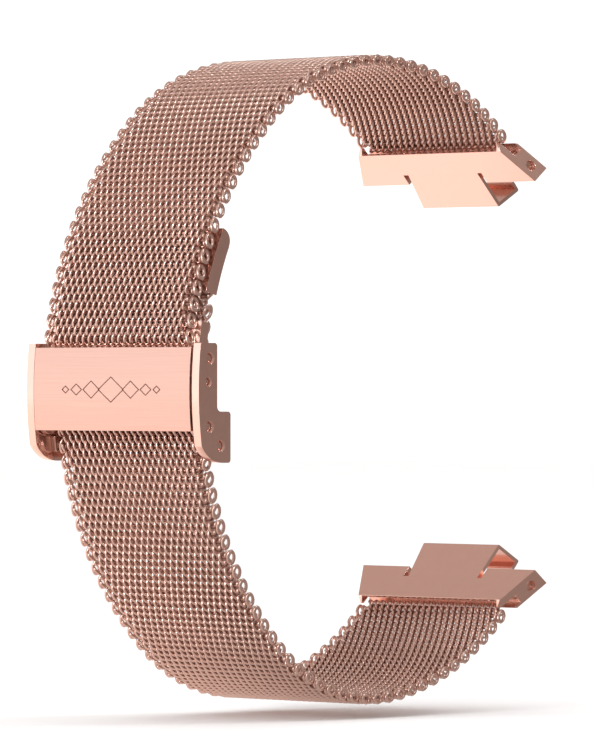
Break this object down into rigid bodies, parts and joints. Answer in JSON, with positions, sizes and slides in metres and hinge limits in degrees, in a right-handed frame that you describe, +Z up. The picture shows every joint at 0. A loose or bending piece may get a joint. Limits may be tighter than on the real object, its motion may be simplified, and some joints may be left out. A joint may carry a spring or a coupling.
{
  "type": "watch strap",
  "caption": "Woven metal mesh watch strap with a sliding fold-over clasp and angular lug bars with hinged hooks.",
  "frame": {"origin": "middle of the wrist space: halfway across the band, level with the middle of the gap between the two lug bars", "axes": "+X across the band, +Y from the clasp towards the watch case, +Z up from the lower lug bar to the upper one"},
  "size_m": [0.0254, 0.0525, 0.0656],
  "materials": {
    "polished": "polished rose gold plate",
    "brushed": "brushed rose gold plate",
    "inner_steel": "satin rose gold plate",
    "pins": "polished rose gold plate",
    "mesh": "woven rose gold wire"
  },
  "bodies": {
    "clasp": {"side_plate_left": "polished", "side_plate_right": "polished", "floor_plate": "inner_steel", "floor_rivets": "pins", "hook_bar": "pins", "lever_pin": "pins", "cover_pin": "pins", "hook_plate": "inner_steel", "upper_band_base": "mesh"},
    "cover": {"clasp_cover": "brushed"},
    "lever": {"lock_lever": "inner_steel"},
    "upper_rise": {"upper_band_rise": "mesh"},
    "upper_crown": {"upper_band_crown": "mesh"},
    "upper_end": {"upper_band_end": "mesh", "upper_lug_bar": "polished", "upper_lug_pin": "pins"},
    "upper_hook": {"upper_lug_hook": "polished"},
    "tail": {"tail_band": "mesh", "tail_cap": "polished"},
    "lower_rise": {"lower_band_rise": "mesh"},
    "lower_crown": {"lower_band_crown": "mesh"},
    "lower_end": {"lower_band_end": "mesh", "lower_lug_bar": "polished", "lower_lug_pin": "pins"},
    "lower_hook": {"lower_lug_hook": "polished"}
  },
  "joints": [
    {"name": "cover_hinge", "type": "hinge", "parent": "clasp", "child": "cover", "pos_m": [0, -0.02412, -0.00504], "axis": [1, 0, 0], "range_deg": [0, 100]},
    {"name": "lever_hinge", "type": "hinge", "parent": "clasp", "child": "lever", "pos_m": [0, -0.02426, -0.00062], "axis": [-1, 0, 0], "range_deg": [0, 12]},
    {"name": "upper_bend_1", "type": "hinge", "parent": "clasp", "child": "upper_rise", "pos_m": [0, -0.02064, 0.01613], "axis": [1, 0, 0], "range_deg": [0, 22]},
    {"name": "upper_bend_2", "type": "hinge", "parent": "upper_rise", "child": "upper_crown", "pos_m": [0, -0.01001, 0.02841], "axis": [1, 0, 0], "range_deg": [-6, 22]},
    {"name": "upper_bend_3", "type": "hinge", "parent": "upper_crown", "child": "upper_end", "pos_m": [0, 0.00573, 0.03153], "axis": [1, 0, 0], "range_deg": [-6, 22]},
    {"name": "upper_hook_hinge", "type": "hinge", "parent": "upper_end", "child": "upper_hook", "pos_m": [0, 0.02194, 0.02164], "axis": [-1, 0, 0], "range_deg": [0, 12]},
    {"name": "clasp_adjust", "type": "hinge", "parent": "clasp", "child": "tail", "pos_m": [0, 0.0128, -0.0015], "axis": [-1, 0, 0], "range_deg": [-6, 8]},
    {"name": "lower_bend_1", "type": "hinge", "parent": "tail", "child": "lower_rise", "pos_m": [0, -0.01974, -0.01667], "axis": [-1, 0, 0], "range_deg": [-6, 22]},
    {"name": "lower_bend_2", "type": "hinge", "parent": "lower_rise", "child": "lower_crown", "pos_m": [0, -0.00966, -0.02934], "axis": [-1, 0, 0], "range_deg": [-6, 22]},
    {"name": "lower_bend_3", "type": "hinge", "parent": "lower_crown", "child": "lower_end", "pos_m": [0, 0.00599, -0.03201], "axis": [-1, 0, 0], "range_deg": [-6, 22]},
    {"name": "lower_hook_hinge", "type": "hinge", "parent": "lower_end", "child": "lower_hook", "pos_m": [0, 0.02194, -0.02164], "axis": [1, 0, 0], "range_deg": [0, 12]}
  ]
}
